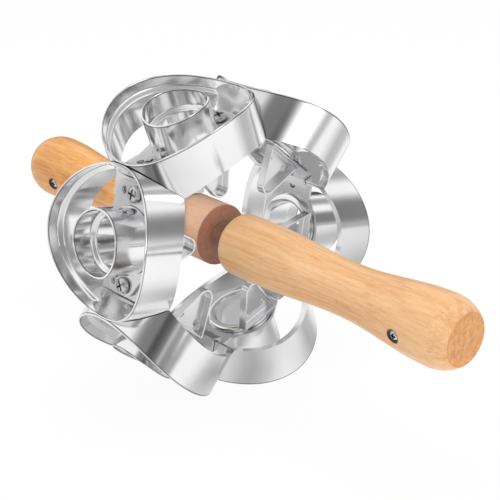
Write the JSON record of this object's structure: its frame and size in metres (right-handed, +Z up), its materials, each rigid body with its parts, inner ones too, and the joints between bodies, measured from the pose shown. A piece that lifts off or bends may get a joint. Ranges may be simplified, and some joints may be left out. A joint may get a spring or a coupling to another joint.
{
  "type": "doughnut cutter roller",
  "caption": "Bakery roller with a drum of joined ring cutters, each with a hole cutter inside, that rolls on an axle between two turned wooden handles and stamps doughnuts.",
  "frame": {"origin": "on the axle, halfway between the outer ends of the two handles", "axes": "+X along the axle towards the longer, near handle; +Z up; the roller rests on the drum's lower rims"},
  "size_m": [0.3256, 0.161, 0.1608],
  "materials": {
    "polished_steel": "satin polished",
    "sheet_steel": "bright rolled sheet",
    "screw_steel": "bright",
    "bush_bronze": "turned",
    "hub_wood": "turned and oiled",
    "spacer_wood": "turned",
    "near_handle_wood": "turned and varnished",
    "far_handle_wood": "turned and varnished"
  },
  "bodies": {
    "grip": {"axle": "screw_steel", "spacer_near": "spacer_wood", "spacer_far": "spacer_wood", "handle_near": "near_handle_wood", "handle_far": "far_handle_wood", "cross_screw_near": "screw_steel", "cross_screw_far": "screw_steel"},
    "drum": {"ring_cutter_1": "polished_steel", "hole_cutter_1": "polished_steel", "bridge_1": "sheet_steel", "tab_1": "sheet_steel", "bridge_screw_1a": "screw_steel", "bridge_screw_1b": "screw_steel", "seam_bar_1": "sheet_steel", "ring_cutter_2": "polished_steel", "hole_cutter_2": "polished_steel", "bridge_2": "sheet_steel", "tab_2": "sheet_steel", "bridge_screw_2a": "screw_steel", "bridge_screw_2b": "screw_steel", "seam_bar_2": "sheet_steel", "ring_cutter_3": "polished_steel", "hole_cutter_3": "polished_steel", "bridge_3": "sheet_steel", "tab_3": "sheet_steel", "bridge_screw_3a": "screw_steel", "bridge_screw_3b": "screw_steel", "seam_bar_3": "sheet_steel", "ring_cutter_4": "polished_steel", "hole_cutter_4": "polished_steel", "bridge_4": "sheet_steel", "tab_4": "sheet_steel", "bridge_screw_4a": "screw_steel", "bridge_screw_4b": "screw_steel", "seam_bar_4": "sheet_steel", "ring_cutter_5": "polished_steel", "hole_cutter_5": "polished_steel", "bridge_5": "sheet_steel", "tab_5": "sheet_steel", "bridge_screw_5a": "screw_steel", "bridge_screw_5b": "screw_steel", "seam_bar_5": "sheet_steel", "ring_cutter_6": "polished_steel", "hole_cutter_6": "polished_steel", "bridge_6": "sheet_steel", "tab_6": "sheet_steel", "bridge_screw_6a": "screw_steel", "bridge_screw_6b": "screw_steel", "seam_bar_6": "sheet_steel", "leg_1": "sheet_steel", "leg_screw_1": "screw_steel", "leg_3": "sheet_steel", "leg_screw_3": "screw_steel", "leg_5": "sheet_steel", "leg_screw_5": "screw_steel", "hub": "hub_wood", "hub_bush_near": "bush_bronze", "hub_bush_far": "bush_bronze"}
  },
  "joints": [
    {"name": "drum_spin", "type": "hinge", "parent": "grip", "child": "drum", "pos_m": [-0.00775, 0, 0], "axis": [1, 0, 0], "continuous": true}
  ]
}
